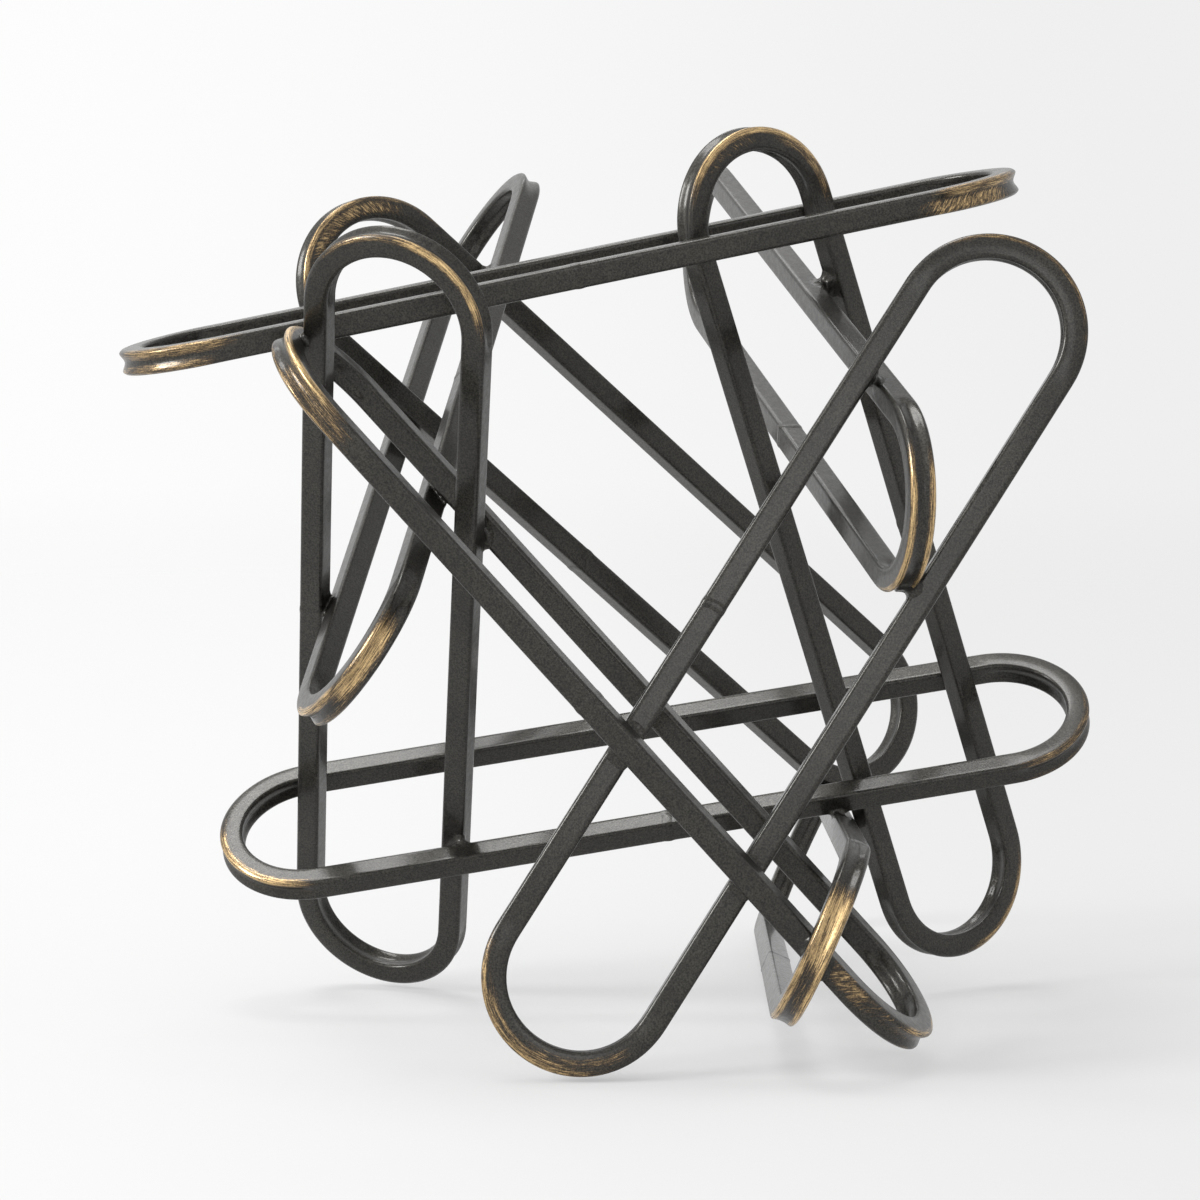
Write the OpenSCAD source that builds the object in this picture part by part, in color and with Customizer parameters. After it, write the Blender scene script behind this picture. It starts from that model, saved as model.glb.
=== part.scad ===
// Free-standing sculpture of ten equal stadium-shaped loops, bent from square
// steel tube and welded together where they cross. Millimetres, +Z up. The
// origin is on the floor, below the middle of the whole sculpture.

/* [Tube] */
// Outside width of the square tube
tube_w = 9.5; // [8:0.5:11]
// Wall thickness of the tube
tube_wall = 1.2; // [0.8:0.1:1.6]
// Outside corner radius of the tube
tube_corner = 1.5; // [1.2:0.1:2]

/* [Loop] */
// Overall length of a loop, over its two bends
loop_len = 360; // [340:1:380]
// Overall width of a loop, over its two sides
loop_w = 74; // [66:1:80]
// Depth to which the outer face of a bend is sunken
bend_sink = 1.2; // [0.4:0.1:1.4]

/* [Welds] */
// Length of the butt weld that closes each loop
seam_len = 3; // [2:0.5:4]
// Height of that weld above the tube's faces
seam_proud = 0.2; // [0.1:0.1:0.5]
// Radius of the ball that a crossing's weld metal lies in, less its thickness
weld_r = 5.5; // [5:0.1:7]

/* [Hidden] */
// The loops. Each row is: name, middle of the loop, its turns in degrees about
// X, then Y, then Z, and the side (1 or -1) that holds its closing weld.
// A loop lies in its own XY plane, long along X, before it is turned.
LOOPS = [
    ["upper_rail", [-17.5, -48.5, 298], [-3.5, 11.5, -176], 1],
    ["base_ring", [17, -1, 92], [-33, 9, -177], 1],
    ["left_upright", [-89, -62, 158], [152.5, -59, -84], 1],
    ["back_diagonal", [2, 85, 198.5], [100.5, -40.5, -156.5], -1],
    ["front_diagonal", [-4.5, -126, 142], [-7, -47.5, 175], 1],
    ["right_upright", [97.5, -12.5, 184], [-88.5, -69, -144.5], -1],
    ["front_leaner", [63.5, -139.5, 156], [76.5, -56.5, 13.5], 1],
    ["small_diagonal", [-77, 5.5, 233], [-50.5, -31, 80.5], -1],
    ["middle_diagonal", [74, 1.5, 260.5], [90, -18.5, 103], -1],
    ["floor_brace", [79, -1.5, 42.5], [66.5, -3.5, -91], -1]
];
rail = 0;
ring = 1;
upright = 2;
back = 3;
front = 4;
tall = 5;
leaner = 6;
small = 7;
middle = 8;
brace = 9;

// The welds between loops. Each row is: name, the loops that it joins, a rough
// place near them, from which the true crossing of the first two is found, and
// how far the weld metal reaches from the tubes' faces.
WELDS = [
    ["ring_to_upright_weld", [ring, upright], [-60, -30, 65], 2.5],
    ["ring_to_tall_left_weld", [ring, tall], [100, -20, 90], 2],
    ["ring_to_tall_right_weld", [ring, tall], [140, 25, 130], 2],
    ["rail_to_tall_weld", [rail, tall], [80, -15, 320], 3],
    ["rail_to_front_weld", [rail, front], [-115, -90, 270], 2],
    ["front_to_upright_high_weld", [front, upright], [-115, -115, 270], 2],
    ["front_to_upright_low_weld", [front, upright], [-55, -95, 200], 2.5],
    ["front_to_leaner_high_weld", [front, leaner], [5, -155, 125], 3.5],
    ["front_to_leaner_low_weld", [front, leaner], [50, -160, 75], 3],
    ["front_to_small_weld", [front, small], [-65, -85, 215], 2],
    ["front_to_brace_weld", [front, brace], [75, -170, 45], 2],
    ["back_to_small_left_weld", [back, small], [-85, 45, 235], 3.5],
    ["back_to_small_right_weld", [back, small], [-50, 60, 295], 2],
    ["small_to_upright_weld", [small, upright], [-115, -60, 165], 2],
    ["middle_to_tall_weld", [middle, tall], [85, -15, 290], 3],
    ["middle_to_leaner_high_weld", [middle, leaner], [95, -125, 255], 2.5],
    ["middle_to_leaner_low_weld", [middle, leaner], [110, -135, 180], 2],
    ["ring_to_brace_weld", [ring, brace], [90, -30, 80], 2]
];

LOOP_NODES = [for (l = LOOPS) str(l[0], "_tube")];
SEAM_NODES = [for (l = LOOPS) str(l[0], "_seam")];
WELD_NODES = [for (w = WELDS) w[0]];

// Radius of a bend's centre line, and half the length of a straight side
bend_r = loop_w / 2 - tube_w / 2;
half_side = loop_len / 2 - loop_w / 2;
// Radius of the round hollow that is pressed into the outer face of a bend,
// and how far inside the bend's ends it starts
sink_r = 5.5;
sink_start = 0.15;
// Rounds of stepping from one loop to the other to find where they cross
meet_rounds = 120;
$fn = 48;

// ---- where the loops cross ----

function rot_x(a) = [[1, 0, 0], [0, cos(a), -sin(a)], [0, sin(a), cos(a)]];
function rot_y(a) = [[cos(a), 0, sin(a)], [0, 1, 0], [-sin(a), 0, cos(a)]];
function rot_z(a) = [[cos(a), -sin(a), 0], [sin(a), cos(a), 0], [0, 0, 1]];
function turned(a) = rot_z(a[2]) * rot_y(a[1]) * rot_x(a[0]);
function flipped(m) = [for (c = [0:2]) [for (r = [0:2]) m[r][c]]];

// Point of the loop's centre line nearest to p, in the loop's own plane
function nearest_flat(p) =
    let (over = max(abs(p[0]) - half_side, 0) * sign(p[0]))
    over == 0
        ? [p[0], sign(p[1]) * bend_r, 0]
        : [p[0] - over, 0, 0] + bend_r * [over, p[1], 0] / norm([over, p[1]]);

// The same in the sculpture's frame, for loop i
function nearest(i, p) =
    let (m = turned(LOOPS[i][2]))
    LOOPS[i][1] + m * nearest_flat(flipped(m) * (p - LOOPS[i][1]));

// Middle of the shortest gap between two loops' centre lines, near p
function meet(i, j, p, rounds) =
    let (a = nearest(i, p), b = nearest(j, a))
    rounds == 0 ? (a + b) / 2 : meet(i, j, b, rounds - 1);

// How far a loop reaches from its middle in direction d
function reach(l, d) =
    let (m = turned(l[2]), flat_w = tube_w / 2 - tube_corner)
    let (along = abs(d * m * [1, 0, 0]), up = abs(d * m * [0, 0, 1]))
    let (in_plane = norm([along, d * m * [0, 1, 0]]))
    half_side * along + (bend_r + flat_w) * in_plane + flat_w * up + tube_corner;

// Farthest point of all the loops in direction d
function farthest(d) = max([for (l = LOOPS) l[1] * d + reach(l, d)]);

// Middle of the sculpture's span along axis d
function mid_span(d) = (farthest(d) - farthest(-d)) / 2;

STAND = [-mid_span([1, 0, 0]), -mid_span([0, 1, 0]), farthest([0, 0, -1])];

// ---- shapes ----

// Section of the tube, drawn smaller all round by inset
module section(inset) {
    corner = tube_corner - inset * 0.8;
    flat_w = tube_w - 2 * inset - 2 * corner;
    square([flat_w + 2 * corner, flat_w], center = true);
    square([flat_w, flat_w + 2 * corner], center = true);
    for (x = [-1, 1], y = [-1, 1])
        translate([x * flat_w / 2, y * flat_w / 2])
            circle(r = corner);
}

// One straight side of a loop, at y = side * bend_r
module side_bar(side, inset, bar_len) {
    translate([-bar_len / 2, side * bend_r, 0])
        rotate([90, 0, 90])
            linear_extrude(bar_len)
                section(inset);
}

// The bend at the +X end, with the sunken outer face that bending leaves
module bend(inset) {
    difference() {
        rotate([0, 0, -90])
            rotate_extrude(angle = 180)
                translate([bend_r, 0])
                    section(inset);
        translate([-bend_sink - sink_start, 0, 0])
            rotate_extrude()
                translate([loop_w / 2 + sink_start + sink_r, 0])
                    circle(r = sink_r + inset);
    }
}

// A whole closed loop, drawn smaller all round by inset
module loop_body(inset) {
    side_bar(1, inset, 2 * half_side);
    side_bar(-1, inset, 2 * half_side);
    translate([half_side, 0, 0])
        bend(inset);
    mirror([1, 0, 0])
        translate([half_side, 0, 0])
            bend(inset);
}

// Puts a loop that lies at the origin in its place
module placed(i) {
    translate(LOOPS[i][1])
        rotate(LOOPS[i][2])
            children();
}

// Stands the sculpture on the surface, with its middle above the origin
module stood() {
    translate(STAND)
        children();
}

// ---- sub-parts ----

// One length of tube bent into a loop, open where the closing weld goes
module loop_tube(i) {
    color([0.2, 0.19, 0.17])
        stood() placed(i)
            difference() {
                loop_body(0);
                loop_body(tube_wall);
                translate([0, LOOPS[i][3] * bend_r, 0])
                    cube([seam_len, 2 * tube_w, 2 * tube_w], center = true);
            }
}

// The butt weld that closes a loop: a band a little proud of the tube
module loop_seam(i) {
    color([0.24, 0.22, 0.19])
        stood() placed(i)
            difference() {
                side_bar(LOOPS[i][3], -seam_proud, seam_len);
                side_bar(LOOPS[i][3], tube_wall, 2 * seam_len);
            }
}

// Weld metal round one crossing: what lies near both tubes, but in neither
module crossing_weld(w) {
    color([0.24, 0.22, 0.19])
        stood()
            difference() {
                intersection() {
                    translate(meet(w[1][0], w[1][1], w[2], meet_rounds))
                        sphere(r = weld_r + w[3]);
                    placed(w[1][0])
                        loop_body(-w[3]);
                    placed(w[1][1])
                        loop_body(-w[3]);
                }
                for (i = w[1])
                    placed(i)
                        loop_body(0);
            }
}

for (i = [0:len(LOOPS) - 1])
    loop_tube(i);
for (i = [0:len(LOOPS) - 1])
    loop_seam(i);
for (i = [0:len(WELDS) - 1])
    crossing_weld(WELDS[i]);
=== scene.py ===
import math

import bpy
import numpy as np
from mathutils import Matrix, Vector


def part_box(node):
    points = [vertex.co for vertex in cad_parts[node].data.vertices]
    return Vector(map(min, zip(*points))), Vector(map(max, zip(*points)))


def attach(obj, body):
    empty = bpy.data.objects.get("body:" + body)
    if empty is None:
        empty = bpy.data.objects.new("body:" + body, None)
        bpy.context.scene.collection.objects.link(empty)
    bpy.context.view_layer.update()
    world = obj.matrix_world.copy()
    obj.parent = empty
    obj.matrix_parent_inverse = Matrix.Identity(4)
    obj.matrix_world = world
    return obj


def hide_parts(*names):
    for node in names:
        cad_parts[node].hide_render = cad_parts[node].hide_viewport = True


# Looks of a free-standing sculpture: ten loops of square tube, each closed by a
# butt weld and welded to its neighbours. Metres, in the frame of the CAD model.

MM = 0.001
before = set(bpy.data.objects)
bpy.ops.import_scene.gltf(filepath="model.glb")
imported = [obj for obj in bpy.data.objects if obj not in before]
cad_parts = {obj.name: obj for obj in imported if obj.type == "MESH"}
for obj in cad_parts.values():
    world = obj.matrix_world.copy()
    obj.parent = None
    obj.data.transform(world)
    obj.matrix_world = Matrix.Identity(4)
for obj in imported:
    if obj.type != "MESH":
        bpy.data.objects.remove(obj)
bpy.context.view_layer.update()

# ---- camera ----

CAMERA_AT = (-0.0065, -1.6265, 0.3076)
CAMERA_PITCH = 5
LENS = 120
SENSOR = 36


def make_camera():
    data = bpy.data.cameras.new("camera")
    data.lens = LENS
    data.sensor_width = SENSOR
    data.clip_start = 0.01
    data.clip_end = 50
    camera = bpy.data.objects.new("camera", data)
    camera.location = CAMERA_AT
    camera.rotation_euler = (math.radians(90 - CAMERA_PITCH), 0, 0)
    bpy.context.scene.collection.objects.link(camera)
    bpy.context.scene.camera = camera


# ---- shader helpers ----


def new_material(name):
    material = bpy.data.materials.new(name)
    material.use_nodes = True
    tree = material.node_tree
    tree.nodes.clear()
    output = tree.nodes.new("ShaderNodeOutputMaterial")
    shader = tree.nodes.new("ShaderNodeBsdfPrincipled")
    tree.links.new(shader.outputs["BSDF"], output.inputs["Surface"])
    return material, tree, shader


def noise(tree, vector, scale, detail, roughness=0.5):
    node = tree.nodes.new("ShaderNodeTexNoise")
    node.inputs["Scale"].default_value = scale
    node.inputs["Detail"].default_value = detail
    node.inputs["Roughness"].default_value = roughness
    tree.links.new(vector, node.inputs["Vector"])
    return node.outputs["Fac"]


def stretched(tree, vector, scale):
    node = tree.nodes.new("ShaderNodeMapping")
    node.inputs["Scale"].default_value = scale
    tree.links.new(vector, node.inputs["Vector"])
    return node.outputs["Vector"]


def attribute(tree, name, output):
    node = tree.nodes.new("ShaderNodeAttribute")
    node.attribute_name = name
    return node.outputs[output]


def spread(tree, value, low, high, to_low=0.0, to_high=1.0):
    """Carries value's span low..high to to_low..to_high, with soft ends."""
    node = tree.nodes.new("ShaderNodeMapRange")
    node.interpolation_type = "SMOOTHSTEP"
    node.inputs["From Min"].default_value = low
    node.inputs["From Max"].default_value = high
    node.inputs["To Min"].default_value = to_low
    node.inputs["To Max"].default_value = to_high
    tree.links.new(value, node.inputs["Value"])
    return node.outputs["Result"]


def math_node(tree, operation, a, b):
    node = tree.nodes.new("ShaderNodeMath")
    node.operation = operation
    for socket, value in zip(node.inputs, (a, b)):
        if isinstance(value, (int, float)):
            socket.default_value = value
        else:
            tree.links.new(value, socket)
    return node.outputs["Value"]


def colour_mix(tree, share, a, b):
    node = tree.nodes.new("ShaderNodeMix")
    node.data_type = "RGBA"
    tree.links.new(share, node.inputs["Factor"])
    for socket, value in ((node.inputs["A"], a), (node.inputs["B"], b)):
        if isinstance(value, tuple):
            socket.default_value = (*value, 1)
        else:
            tree.links.new(value, socket)
    return node.outputs["Result"]


def bump(tree, height, distance, strength, below=None):
    node = tree.nodes.new("ShaderNodeBump")
    node.inputs["Distance"].default_value = distance
    node.inputs["Strength"].default_value = strength
    tree.links.new(height, node.inputs["Height"])
    if below is not None:
        tree.links.new(below, node.inputs["Normal"])
    return node.outputs["Normal"]


# ---- materials ----

# Colours of the coat, from its darkest grains to its lightest, and of the gold
COAT_DARK = (0.012, 0.0115, 0.0105)
COAT_LIGHT = (0.056, 0.053, 0.045)
GOLD_DARK = (0.1, 0.062, 0.03)
GOLD_LIGHT = (0.85, 0.6, 0.29)
# Share of the fine grain in the coat's grain, the rest being the coarse one
FINE_SHARE = 0.85
# Angle of the slanted strokes of gold to the tube
STROKE_SLANT = 52
# Spread of roughness that the coarse grain gives, and how much smoother gold is
ROUGH_DOWN = 0.05
ROUGH_UP = 0.07
GOLD_SMOOTHER = 0.06


def coat_material(name, roughness, grain_depth):
    """Dark metallic coat with a fine grain, rubbed with gold where `rub` says."""
    material, tree, shader = new_material(name)
    place = tree.nodes.new("ShaderNodeTexCoord").outputs["Object"]
    fine = noise(tree, place, 1500, 2, 0.6)
    coarse = noise(tree, place, 420, 3, 0.55)
    cloud = noise(tree, place, 38, 3)

    # the coat's own colour: dark, with fine light grains and slow drifts
    grain = math_node(tree, "ADD", math_node(tree, "MULTIPLY", fine, FINE_SHARE),
                      math_node(tree, "MULTIPLY", coarse, 1 - FINE_SHARE))
    grain = spread(tree, grain, 0.3, 0.72)
    drift = spread(tree, cloud, 0.3, 0.7, 0.8, 1.15)
    coat = colour_mix(tree, math_node(tree, "MULTIPLY", grain, drift), COAT_DARK, COAT_LIGHT)

    # the gold: strokes that run along the tube, or slant across it
    brush = attribute(tree, "brush", "Vector")
    rub = tree.nodes.new("ShaderNodeSeparateXYZ")
    tree.links.new(attribute(tree, "rub", "Vector"), rub.inputs["Vector"])
    amount, slant = rub.outputs["X"], rub.outputs["Y"]
    along = noise(tree, stretched(tree, brush, (0.14, 3.6, 1)), 0.9, 6, 0.75)
    turned = tree.nodes.new("ShaderNodeVectorRotate")
    turned.rotation_type = "Z_AXIS"
    turned.inputs["Angle"].default_value = math.radians(STROKE_SLANT)
    tree.links.new(brush, turned.inputs["Vector"])
    across = noise(tree, stretched(tree, turned.outputs["Vector"], (0.2, 1.6, 1)), 1.1, 6, 0.75)
    stroke = tree.nodes.new("ShaderNodeMix")
    tree.links.new(slant, stroke.inputs["Factor"])
    tree.links.new(along, stroke.inputs["A"])
    tree.links.new(across, stroke.inputs["B"])
    stroke = stroke.outputs["Result"]
    bite = math_node(tree, "ADD", math_node(tree, "MULTIPLY", stroke, 2.0), amount)
    bite = math_node(tree, "ADD", bite, math_node(tree, "MULTIPLY", fine, 0.35))
    gold = spread(tree, bite, 1.56, 2.04)
    gold = math_node(tree, "MULTIPLY", gold, spread(tree, amount, 0.02, 0.2))
    gold_colour = colour_mix(tree, spread(tree, bite, 1.75, 2.35), GOLD_DARK, GOLD_LIGHT)
    tree.links.new(colour_mix(tree, gold, coat, gold_colour), shader.inputs["Base Color"])

    # roughness drifts with the coarse grain, and the gold is a little smoother
    rough = spread(tree, coarse, 0.3, 0.7, roughness - ROUGH_DOWN, roughness + ROUGH_UP)
    rough = math_node(tree, "SUBTRACT", rough, math_node(tree, "MULTIPLY", gold, GOLD_SMOOTHER))
    tree.links.new(rough, shader.inputs["Roughness"])
    skin = bump(tree, grain, 0.00006, grain_depth)
    waves = bump(tree, cloud, 0.0006, 0.12, skin)
    tree.links.new(bump(tree, stroke, 0.00012, 0.25, waves), shader.inputs["Normal"])
    shader.inputs["Metallic"].default_value = 0.85
    shader.inputs["Coat Weight"].default_value = 0.4
    shader.inputs["Coat Roughness"].default_value = 0.14
    return material


# Greys of the floor, with painted light that makes the left lighter and the right shaded, and
# how far from the middle it changes from one to the other
FLOOR_GREY_LIT_LEFT = (0.285, 0.285, 0.285)
FLOOR_GREY_SHADED_RIGHT = (0.235, 0.235, 0.235)
FLOOR_GLOW = (0.45, 0.45, 0.45, 1)
FLOOR_PAINTED_LIGHT_CHANGE = 0.25


def floor_material(reach):
    """Plain pale floor, with painted light that makes it paler on the left, that thins out far
    away.

    Part of its paleness is a glow of its own, which keeps its shadows light.
    It starts to thin out at a fifth of its reach."""
    material, tree, shader = new_material("floor")
    tree.nodes.remove(shader)
    output = next(n for n in tree.nodes if n.type == "OUTPUT_MATERIAL")
    place = tree.nodes.new("ShaderNodeTexCoord").outputs["Object"]
    parts = tree.nodes.new("ShaderNodeSeparateXYZ")
    tree.links.new(place, parts.inputs["Vector"])
    pale = tree.nodes.new("ShaderNodeBsdfDiffuse")
    # painted light: the floor's grey is lighter on the left and shaded on the right
    side = spread(tree, parts.outputs["X"], -FLOOR_PAINTED_LIGHT_CHANGE, FLOOR_PAINTED_LIGHT_CHANGE)
    tree.links.new(colour_mix(tree, side, FLOOR_GREY_LIT_LEFT, FLOOR_GREY_SHADED_RIGHT), pale.inputs["Color"])
    glow = tree.nodes.new("ShaderNodeEmission")
    glow.inputs["Color"].default_value = FLOOR_GLOW
    both = tree.nodes.new("ShaderNodeAddShader")
    tree.links.new(pale.outputs["BSDF"], both.inputs[0])
    tree.links.new(glow.outputs["Emission"], both.inputs[1])
    clear = tree.nodes.new("ShaderNodeBsdfTransparent")
    length = tree.nodes.new("ShaderNodeVectorMath")
    length.operation = "LENGTH"
    tree.links.new(place, length.inputs[0])
    fade = spread(tree, length.outputs["Value"], 0.2 * reach, 0.95 * reach)
    blend = tree.nodes.new("ShaderNodeMixShader")
    tree.links.new(fade, blend.inputs["Fac"])
    tree.links.new(both.outputs["Shader"], blend.inputs[1])
    tree.links.new(clear.outputs["BSDF"], blend.inputs[2])
    tree.links.new(blend.outputs["Shader"], output.inputs["Surface"])
    return material


# ---- loops ----

# For each loop: which way its long axis points, roughly, and which of its sides
# holds the closing weld, which together say which way round it is described.
# Then its rubs of gold. Each is: how far along the loop from the closing weld
# and how far to each side of that, in mm; the direction on the section that it
# faces (0 outwards, 90 and -90 the flat sides) and its half width, in degrees;
# its strength; and 1 where its strokes slant across the tube.
LOOPS = {
    "upper_rail": ((-1, 0, 0), 1, [
        (160, 34, 40, 40, 0.72, 0), (168, 34, -35, 30, 0.66, 0),
        (612, 28, 40, 40, 0.72, 0), (620, 24, -20, 45, 0.72, 1)]),
    "base_ring": ((-1, 0, 0), 1, [
        (172, 34, 45, 30, 0.8, 0), (165, 30, 5, 40, 0.35, 0), (190, 50, 75, 40, 0.25, 0),
        (605, 38, 45, 22, 0.6, 0), (605, 34, -40, 20, 0.5, 0)]),
    "left_upright": ((0, -0.5, 0.86), 1, [
        (215, 30, 45, 25, 0.85, 0), (185, 30, 45, 20, 0.6, 0), (200, 50, 0, 35, 0.2, 0),
        (585, 45, 40, 20, 0.3, 0)]),
    "back_diagonal": ((-0.7, -0.3, 0.65), -1, [
        (205, 34, -90, 40, 0.68, 1), (190, 34, -45, 20, 0.75, 0), (230, 25, -45, 20, 0.6, 0),
        (580, 40, 45, 20, 0.3, 0)]),
    "front_diagonal": ((-0.68, 0, 0.73), 1, [
        (172, 42, 45, 26, 0.85, 0), (150, 26, 0, 45, 0.6, 0), (160, 40, -45, 20, 0.7, 0),
        (634, 14, 15, 50, 0.66, 1), (606, 30, 20, 40, 0.5, 1),
        (585, 30, 45, 22, 0.75, 0), (585, 30, -45, 20, 0.55, 0)]),
    "right_upright": ((-0.3, -0.2, 0.93), -1, [
        (185, 50, 45, 25, 0.85, 0), (200, 20, 85, 35, 0.5, 1), (158, 24, 70, 35, 0.66, 0),
        (165, 35, 0, 45, 0.35, 0), (600, 30, 45, 35, 0.75, 0)]),
    "front_leaner": ((0.54, 0, 0.83), 1, [
        (195, 45, 45, 20, 0.6, 0),
        (588, 34, 60, 40, 0.65, 0), (590, 45, 45, 20, 0.75, 0), (565, 28, 90, 35, 0.55, 0)]),
    "small_diagonal": ((0.14, 0.85, 0.52), -1, [
        (200, 30, 45, 30, 0.4, 0),
        (595, 24, 10, 50, 0.85, 0), (565, 26, 45, 30, 0.8, 0), (560, 28, -40, 25, 0.6, 0)]),
    "middle_diagonal": ((-0.2, 0.92, 0.32), -1, [
        (185, 35, 45, 20, 0.3, 0),
        (590, 45, 40, 20, 0.85, 0), (590, 48, -42, 18, 0.85, 0), (615, 20, 0, 40, 0.4, 0)]),
    "floor_brace": ((0, -1, 0.07), -1, [
        (198, 20, 0, 75, 0.84, 0), (168, 30, 42, 26, 0.85, 0),
        (168, 30, -42, 26, 0.85, 0), (172, 22, 0, 60, 0.5, 0), (575, 35, 45, 20, 0.3, 0)]),
}

# The loop that each word in a weld's name stands for
SHORT = {
    "rail": "upper_rail", "ring": "base_ring", "upright": "left_upright",
    "back": "back_diagonal", "front": "front_diagonal", "tall": "right_upright",
    "leaner": "front_leaner", "small": "small_diagonal",
    "middle": "middle_diagonal", "brace": "floor_brace",
}

# Corner radius of the tube, and points across each face and round each corner
CORNER = 1.35 * MM
FACE_POINTS = 9
CORNER_POINTS = 4
# Depth of the hollow outside a bend, and height of the lips beside it
SINK = 1.5 * MM
LIP = 0.15 * MM
# Depth of the dent inside a bend, swelling of its flanks, rounding of its lips
DENT = 0.9 * MM
SWELLING = 0.28 * MM
ROUNDING = 0.35 * MM
# Spacing of stations on straight sides and round bends, and how far the close
# spacing reaches beyond a bend
STRAIGHT_STEP = 5 * MM
BEND_STEP = 1.3 * MM
BEND_MARGIN = 8 * MM
# Strength of the faint gold that every bend's lips have
FAINT_GOLD = 0.16


def vertices_of(piece):
    points = np.empty(3 * len(piece.data.vertices))
    piece.data.vertices.foreach_get("co", points)
    return points.reshape(-1, 3)


def own_axes(piece):
    """Middle, axes (longest first) and half spans of a CAD piece, by its area."""
    points = vertices_of(piece)
    piece.data.calc_loop_triangles()
    index = np.empty(3 * len(piece.data.loop_triangles), dtype=np.int32)
    piece.data.loop_triangles.foreach_get("vertices", index)
    corners = points[index.reshape(-1, 3)]
    edge_a, edge_b = corners[:, 1] - corners[:, 0], corners[:, 2] - corners[:, 0]
    area = np.linalg.norm(np.cross(edge_a, edge_b), axis=1)
    middle = (corners.mean(axis=1) * area[:, None]).sum(axis=0) / area.sum()
    corners = corners - middle
    spread_of = np.einsum("t,tia,tib->ab", area, corners, corners)
    centre = corners.mean(axis=1)
    spread_of += 9 * np.einsum("t,ta,tb->ab", area, centre, centre)
    axes = np.linalg.eigh(spread_of)[1].T[::-1]
    along = (points - middle) @ axes.T
    low, high = along.min(axis=0), along.max(axis=0)
    return middle + (low + high) / 2 @ axes, axes, (high - low) / 2


class Loop:
    """The centre line of one loop, read from its CAD node."""

    def __init__(self, name):
        hint, side, self.rubs = LOOPS[name]
        middle, axes, half = own_axes(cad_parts[name + "_tube"])
        self.middle = middle
        self.u = axes[0] * (1 if axes[0] @ np.array(hint) > 0 else -1)
        seam_box = np.array(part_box(name + "_seam")).mean(axis=0)
        self.v = axes[1] * (1 if axes[1] @ (seam_box - middle) > 0 else -1)
        self.n = np.cross(self.u, self.v) * side
        self.tube = 2 * half[2]
        self.bend_r = half[1] - half[2]
        self.half_side = half[0] - half[1]
        self.bend_len = math.pi * self.bend_r
        self.length = 4 * self.half_side + 2 * self.bend_len

    def at(self, station):
        """Place, outward direction and depth in the bend at each station.

        The depth is how far the nearer end of the bend is, and is negative on
        the straight sides. Stations run from the closing weld, in metres."""
        station = np.asarray(station) % self.length
        hs, r, bend = self.half_side, self.bend_r, self.bend_len
        first = station < 2 * hs + bend
        local = np.where(first, station, station - 2 * hs - bend)
        turn = np.clip((local - hs) / r, 0, math.pi)
        sign = np.where(first, 1.0, -1.0)
        back = np.where(local > hs + bend, 2 * hs + bend - local, hs)
        straight = np.where(local < hs, local, back)
        x = sign * (straight + r * np.sin(turn))
        y = sign * r * np.cos(turn)
        place = self.middle + x[:, None] * self.u + y[:, None] * self.v
        out = (sign * np.sin(turn))[:, None] * self.u + (sign * np.cos(turn))[:, None] * self.v
        into = np.minimum(local - hs, hs + bend - local)
        return place, out, into

    def flat(self, points):
        """Coordinates of points in the loop's own plane, and off it."""
        offset = points - self.middle
        return offset @ self.u, offset @ self.v, offset @ self.n

    def gap(self, points):
        """Distance of points from the tube's surface, negative inside it."""
        x, y, z = self.flat(points)
        over = np.maximum(np.abs(x) - self.half_side, 0)
        away = np.where(over > 0, np.hypot(over, y), np.abs(y)) - self.bend_r
        core = self.tube / 2 - CORNER
        a, b = np.abs(away) - core, np.abs(z) - core
        outside = np.hypot(np.maximum(a, 0), np.maximum(b, 0))
        return outside + np.minimum(np.maximum(a, b), 0) - CORNER


def smooth_step(value, low, high):
    t = np.clip((value - low) / (high - low), 0, 1)
    return t * t * (3 - 2 * t)


def tube_section(half):
    """Points round the tube's rounded square, from the middle of its inner face.

    Gives (outward, sideways) pairs, the way round to each, and the whole girth."""
    core = half - CORNER
    points = []
    for quarter in range(4):
        turn = math.pi + quarter * math.pi / 2
        c, s = math.cos(turn), math.sin(turn)
        flat = [(half, t * core) for t in np.linspace(-1, 1, FACE_POINTS)]
        arc = [(core + CORNER * math.cos(t), core + CORNER * math.sin(t))
               for t in np.linspace(0, math.pi / 2, CORNER_POINTS + 2)[1:-1]]
        points += [(c * a - s * b, s * a + c * b) for a, b in flat + arc]
    points = np.roll(np.array(points), -(FACE_POINTS // 2), axis=0)
    way = np.cumsum(np.linalg.norm(np.diff(points, axis=0, append=points[:1]), axis=1))
    return points, np.concatenate([[0], way[:-1]]), way[-1]


def stations_of(loop):
    """Stations along a loop, close together round its bends."""
    hs, bend = loop.half_side, loop.bend_len
    marks = [0, hs - BEND_MARGIN, hs + bend + BEND_MARGIN,
             3 * hs + bend - BEND_MARGIN, 3 * hs + 2 * bend + BEND_MARGIN, loop.length]
    steps = (STRAIGHT_STEP, BEND_STEP, STRAIGHT_STEP, BEND_STEP, STRAIGHT_STEP)
    return np.concatenate([
        np.linspace(a, b, max(2, int((b - a) / step)), endpoint=False)
        for a, b, step in zip(marks, marks[1:], steps)])


def new_piece(name, points, faces, material):
    mesh = bpy.data.meshes.new(name)
    mesh.from_pydata([tuple(p) for p in points], [], [tuple(f) for f in faces])
    mesh.validate()
    mesh.materials.append(material)
    mesh.shade_smooth()
    piece = bpy.data.objects.new(name, mesh)
    bpy.context.scene.collection.objects.link(piece)
    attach(piece, "root")
    return piece


def add_vectors(piece, name, rows):
    layer = piece.data.attributes.new(name, "FLOAT_VECTOR", "POINT")
    layer.data.foreach_set("vector", np.asarray(rows, dtype=np.float32).ravel())


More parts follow.
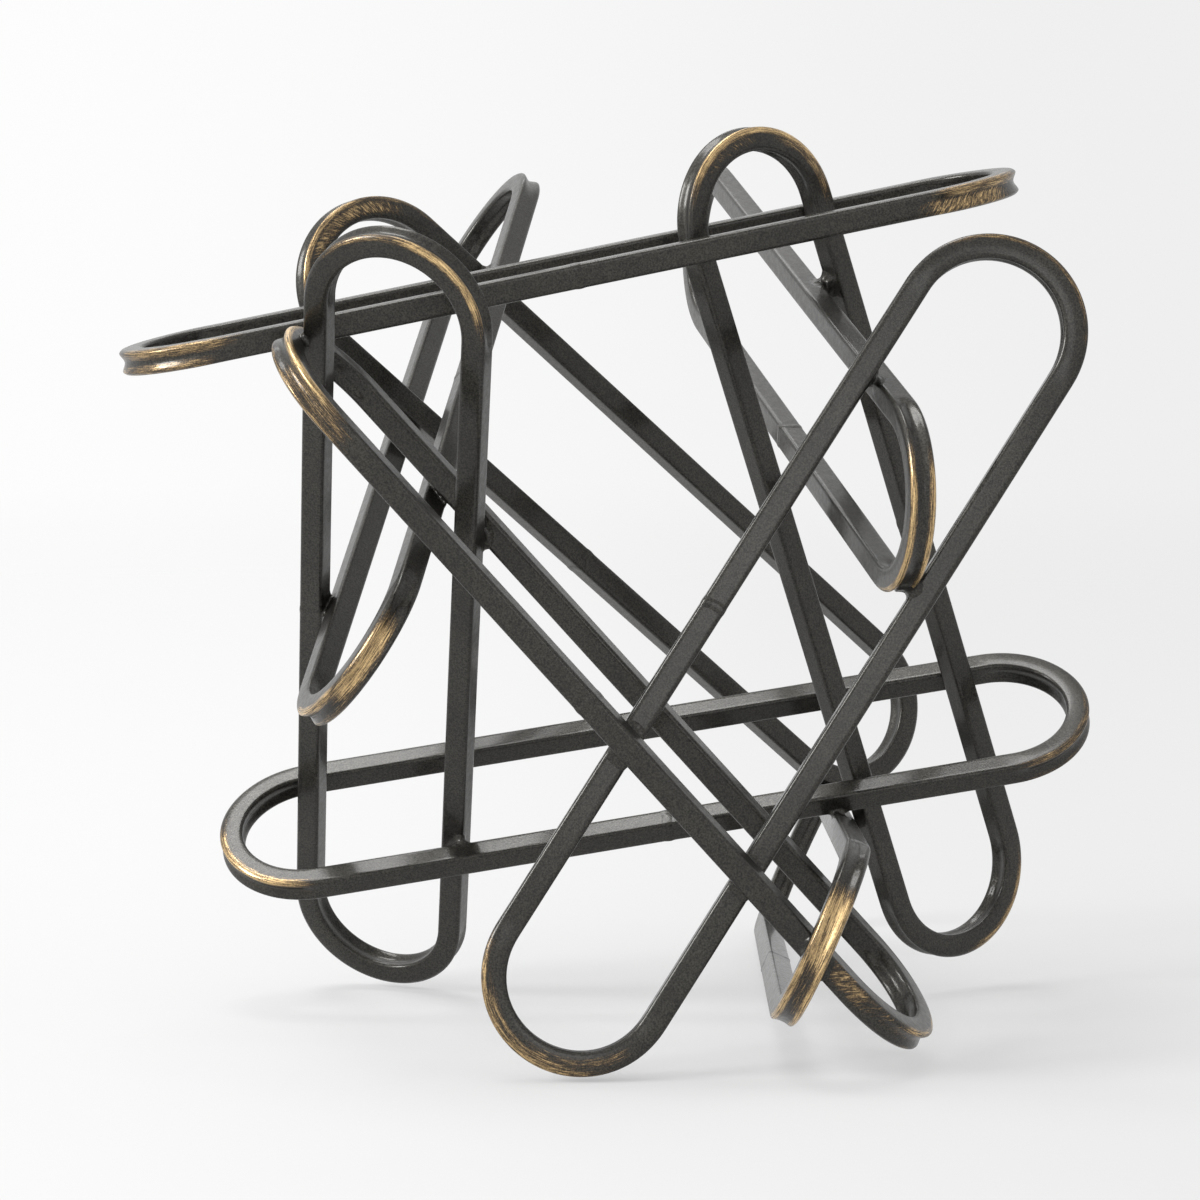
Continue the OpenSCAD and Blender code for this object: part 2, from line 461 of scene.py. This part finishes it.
def ring_faces(rings, count):
    """Quads of a closed ring of closed rings."""
    i = np.arange(rings)[:, None]
    j = np.arange(count)[None, :]
    ni, nj = (i + 1) % rings, (j + 1) % count
    quads = np.stack([i * count + j, i * count + nj, ni * count + nj, ni * count + j], axis=-1)
    return quads.reshape(-1, 4).tolist()


def rub_of(loop, station, angle, into):
    """Amount and slant of gold at each station and section angle (arrays)."""
    amount = np.zeros(np.broadcast(station, angle).shape)
    slant = np.zeros_like(amount)
    length = loop.length / MM
    for middle, reach, facing, width, strength, slanted in loop.rubs:
        away = np.abs((station / MM - middle + length / 2) % length - length / 2)
        aside = np.abs((angle - facing + 180) % 360 - 180)
        share = strength * (1 - smooth_step(away, 0.45 * reach, 1.25 * reach))
        share = share * (1 - smooth_step(aside, 0.4 * width, 1.4 * width))
        slant = np.where(share > amount, slanted, slant)
        amount = np.maximum(amount, share)
    faint = FAINT_GOLD * smooth_step(into / MM, -6, 14)
    faint = faint * (1 - smooth_step(np.abs(np.abs(angle) - 45), 6, 20))
    return np.maximum(amount, faint), slant


def make_tube(name, material):
    """One bent tube: sunken outside and dented inside its bends."""
    loop = Loop(name)
    half = loop.tube / 2
    section, way = tube_section(half)[:2]
    station = stations_of(loop)
    place, out, into = loop.at(station)
    bent = smooth_step(into, -5 * MM, 9 * MM)[:, None]
    a, b = section[:, 0][None, :], section[:, 1][None, :]
    side = b / half
    outer = smooth_step(a, 0.1 * half, half)
    inner = smooth_step(-a, 0.2 * half, half)
    # the outer face sinks between two rounded lips, and the inner face dents
    sink = SINK * np.exp(-(side / 0.5) ** 2) - LIP * np.exp(-((np.abs(side) - 0.72) / 0.2) ** 2)
    dent = DENT * np.exp(-(side / 0.42) ** 2)
    swelling = SWELLING * (1 - (a / half) ** 2) * np.sign(b) * (np.abs(side) > 0.6)
    round_off = ROUNDING * outer * smooth_step(np.abs(side), 0.75, 1.0)
    a = a - bent * (sink * outer - dent * inner) - bent * round_off
    b = b + bent * swelling
    # slow unevenness of hand-bent tube
    phase = station[:, None] / MM
    a = a + 0.07 * MM * np.sin(phase / 9.0 + 1.3 * len(name)) * bent
    a = a + 0.04 * MM * np.sin(phase / 37.0)
    points = place[:, None, :] + a[..., None] * out[:, None, :] + b[..., None] * loop.n
    angle = np.degrees(np.arctan2(section[:, 1], section[:, 0]))[None, :]
    amount, slant = rub_of(loop, station[:, None], angle, into[:, None])
    faces = ring_faces(len(station), len(section))
    piece = new_piece(name + "_bent_tube", points.reshape(-1, 3), faces, material)
    brush = np.zeros(points.shape)
    brush[..., 0] = phase
    brush[..., 1] = np.broadcast_to(way / MM, points.shape[:2])
    brush[..., 2] = 17 * len(name)
    add_vectors(piece, "brush", brush.reshape(-1, 3))
    add_vectors(piece, "rub", np.stack([amount, slant, 0 * amount], axis=-1).reshape(-1, 3))
    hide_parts(name + "_tube")
    return loop


# Half width, height and depth below the surface of a closing weld's bead, how
# far its edges lie below the surface, and points across it
SEAM_REACH = 2.4 * MM
SEAM_CROWN = 0.2 * MM
SEAM_ROOT = 1.2 * MM
SEAM_EDGE = 0.03 * MM
SEAM_POINTS = 11


def make_seam(name, loop, material):
    """The butt weld round a tube: a low uneven bead, closed below."""
    half = loop.tube / 2
    section, way, girth = tube_section(half)
    steps = np.linspace(-1, 1, SEAM_POINTS)
    shift = np.concatenate([steps, steps[::-1]]) * SEAM_REACH
    top = SEAM_CROWN * (1 - steps ** 2) ** 1.5 - SEAM_EDGE
    crown = np.concatenate([top, np.full(SEAM_POINTS, -SEAM_ROOT)])
    place, out = loop.at(np.zeros(1))[:2]
    along = np.cross(out[0], loop.n)
    turn = way / girth * 2 * math.pi
    uneven = 1 + 0.25 * np.sin(5 * turn + len(name)) + 0.2 * np.sin(11 * turn + 2 * len(name))
    scale = 1 + np.where(crown > 0, crown, 0)[None, :] * uneven[:, None] / half
    scale = np.where(crown[None, :] > 0, scale, 1 + crown[None, :] / half)
    wander = 0.35 * MM * np.sin(3 * turn + len(name))[:, None]
    edge = section[:, 0][:, None, None] * out[0] + section[:, 1][:, None, None] * loop.n
    points = place[0] + scale[..., None] * edge + (shift[None, :] + wander)[..., None] * along
    faces = ring_faces(len(section), len(shift))
    piece = new_piece(name + "_seam_bead", points.reshape(-1, 3), faces, material)
    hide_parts(name + "_seam")


# ---- welds between loops ----


# Cell of the grid that welds are made on, and room for them beyond their box
WELD_STEP = 0.42 * MM
WELD_MARGIN = 3 * MM
# Width of a weld's fillet where its tubes touch, and how much it grows with
# the space between them
WELD_BLEND = 3.6 * MM
WELD_GROWTH = 1.7
# How far below the tubes' faces the metal lies away from the fillet, and the
# height of its ripples
WELD_SKIN = 0.06 * MM
WELD_RIPPLE = 0.04 * MM
# Softness of the weld's outer limit
WELD_SOFT = 3 * MM


def surface_net(field, low, step):
    """Closed mesh of the region where field < 0 on a regular grid."""
    inside = field < 0
    n = np.array(field.shape)
    corner = [(i, j, k) for i in (0, 1) for j in (0, 1) for k in (0, 1)]

    def cut(c):
        return tuple(slice(c[a], n[a] - 1 + c[a]) for a in range(3))

    # one point in each cell that the surface crosses, amid its crossings
    count = sum(inside[cut(c)].astype(int) for c in corner)
    mixed = (count > 0) & (count < 8)
    total = np.zeros(mixed.shape + (3,))
    hits = np.zeros(mixed.shape)
    for a in range(3):
        for c in corner:
            if c[a]:
                continue
            d = tuple(1 if b == a else c[b] for b in range(3))
            f, g = field[cut(c)], field[cut(d)]
            cross = (f < 0) != (g < 0)
            share = np.where(cross, f / np.where(cross, f - g, 1), 0)
            where = np.stack([np.full(share.shape, float(c[b])) for b in range(3)], axis=-1)
            where[..., a] += share
            total += where * cross[..., None]
            hits += cross
    index = np.full(mixed.shape, -1)
    index[mixed] = np.arange(mixed.sum())
    cells = np.argwhere(mixed)
    points = low + step * (cells + total[mixed] / hits[mixed][:, None])
    # one quad round each grid edge that the surface crosses
    faces = []
    for a in range(3):
        b, c = (a + 1) % 3, (a + 2) % 3
        start = [slice(None)] * 3
        end = [slice(None)] * 3
        start[a], end[a] = slice(0, n[a] - 1), slice(1, n[a])
        crossing = np.argwhere(inside[tuple(start)] != inside[tuple(end)])
        down_b, down_c = np.eye(3, dtype=int)[b], np.eye(3, dtype=int)[c]
        ring = [crossing - down_b - down_c, crossing - down_c, crossing, crossing - down_b]
        quad = np.stack([index[tuple(r.T)] for r in ring], axis=-1)
        flip = inside[tuple(start)][tuple(crossing.T)]
        quad[~flip] = quad[~flip][:, ::-1]
        faces.append(quad)
    return points, np.concatenate(faces).tolist()


def make_weld(name, loops, material):
    """Weld metal: a concave fillet in the corners between the tubes it joins."""
    box = np.array(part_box(name))
    middle = box.mean(axis=0)
    step = WELD_STEP
    half = (box[1] - box[0]) / 2 + WELD_MARGIN
    n = (2 * half / step).astype(int) + 2
    cells = np.stack(np.meshgrid(*[np.arange(k) for k in n], indexing="ij"), axis=-1)
    grid = cells * step + middle - half
    flat = grid.reshape(-1, 3)
    gaps = np.sort([loop.gap(flat) for loop in loops], axis=0)
    near, second = gaps[0], gaps[1]
    apart = (np.abs(near) + np.abs(second)).min()
    blend = WELD_BLEND + WELD_GROWTH * apart
    share = np.maximum(blend - np.abs(near - second), 0) / blend
    field = near - share * share * blend / 4 + WELD_SKIN
    away = flat - middle
    ripple = np.sin(away @ np.array([1.9, 1.1, 0.7]) / MM)
    ripple = ripple + np.sin(away @ np.array([-0.8, 1.5, 2.1]) / MM + 1)
    field = field + WELD_RIPPLE * ripple * smooth_step(share, 0.1, 0.6)
    radius = np.linalg.norm(half) * 0.66
    limit = np.linalg.norm(away, axis=1) - radius
    rounding = np.maximum(WELD_SOFT - np.abs(field - limit), 0) ** 2 / (4 * WELD_SOFT)
    field = np.maximum(field, limit) + rounding
    edge = np.min(np.minimum(grid - grid[0, 0, 0], grid[-1, -1, -1] - grid), axis=-1).ravel()
    field = np.maximum(field, 1.5 * step - edge)
    points, faces = surface_net(field.reshape(tuple(n)), middle - half, step)
    piece = new_piece(name + "_fillet", points, faces, material)
    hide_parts(name)


# ---- the object ----

tube_coat = coat_material("tube_coat", 0.42, 0.35)
weld_coat = coat_material("weld_coat", 0.48, 0.5)

loops = {}
for name in LOOPS:
    loops[name] = make_tube(name, tube_coat)
    make_seam(name, loops[name], weld_coat)

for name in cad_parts:
    if name.endswith("_weld"):
        words = name.split("_")
        joined = [loops[SHORT[words[0]]], loops[SHORT[words[2]]]]
        make_weld(name, joined, weld_coat)

# ---- floor, light and camera ----


FLOOR_REACH = 4.0
FLOOR_POINTS = 64

WORLD_LEFT = (0.98, 0.98, 0.98)
WORLD_RIGHT = (0.86, 0.86, 0.86)
WORLD_CHANGE = 0.16

# Name, place, the point that it shines towards, size and power of each light
LIGHTS = [
    ("left", (-5.4, -2.2, 3.2), (0, 0, 0.17), (2.6, 2.6), 400),
    ("top", (-1.2, 0.8, 6.0), (0, 0, 0.17), (2.4, 2.4), 170),
    ("edge", (-0.8, 3.2, 3.4), (0, 0, 0.17), (2.6, 0.5), 12),
    ("front", (0.37, -3.1, 0.76), (0, 0, 0.2), (0.6, 0.6), 3),
]


def make_floor():
    """A round floor, wider than the camera sees."""
    mesh = bpy.data.meshes.new("floor")
    turns = np.linspace(0, 2 * math.pi, FLOOR_POINTS, endpoint=False)
    ring = [(FLOOR_REACH * math.cos(t), FLOOR_REACH * math.sin(t), 0) for t in turns]
    mesh.from_pydata(ring, [], [list(range(FLOOR_POINTS))])
    mesh.materials.append(floor_material(FLOOR_REACH))
    floor = bpy.data.objects.new("floor", mesh)
    bpy.context.scene.collection.objects.link(floor)


def make_world():
    """Plain surroundings, a little paler on the left than on the right."""
    world = bpy.data.worlds.new("surroundings")
    bpy.context.scene.world = world
    world.use_nodes = True
    tree = world.node_tree
    tree.nodes.clear()
    output = tree.nodes.new("ShaderNodeOutputWorld")
    shader = tree.nodes.new("ShaderNodeBackground")
    way = tree.nodes.new("ShaderNodeTexCoord").outputs["Generated"]
    parts = tree.nodes.new("ShaderNodeSeparateXYZ")
    tree.links.new(way, parts.inputs["Vector"])
    side = spread(tree, parts.outputs["X"], -WORLD_CHANGE, WORLD_CHANGE)
    tree.links.new(colour_mix(tree, side, WORLD_LEFT, WORLD_RIGHT), shader.inputs["Color"])
    tree.links.new(shader.outputs["Background"], output.inputs["Surface"])


def area_light(name, at, towards, size, power):
    data = bpy.data.lights.new(name, "AREA")
    data.shape = "RECTANGLE"
    data.size, data.size_y = size
    data.energy = power
    light = bpy.data.objects.new(name, data)
    light.location = at
    light.rotation_euler = (Vector(towards) - Vector(at)).to_track_quat("-Z", "Y").to_euler()
    light.visible_camera = False
    bpy.context.scene.collection.objects.link(light)


make_camera()
make_floor()
make_world()
for light in LIGHTS:
    area_light(*light)
bpy.context.scene.view_settings.view_transform = "Standard"
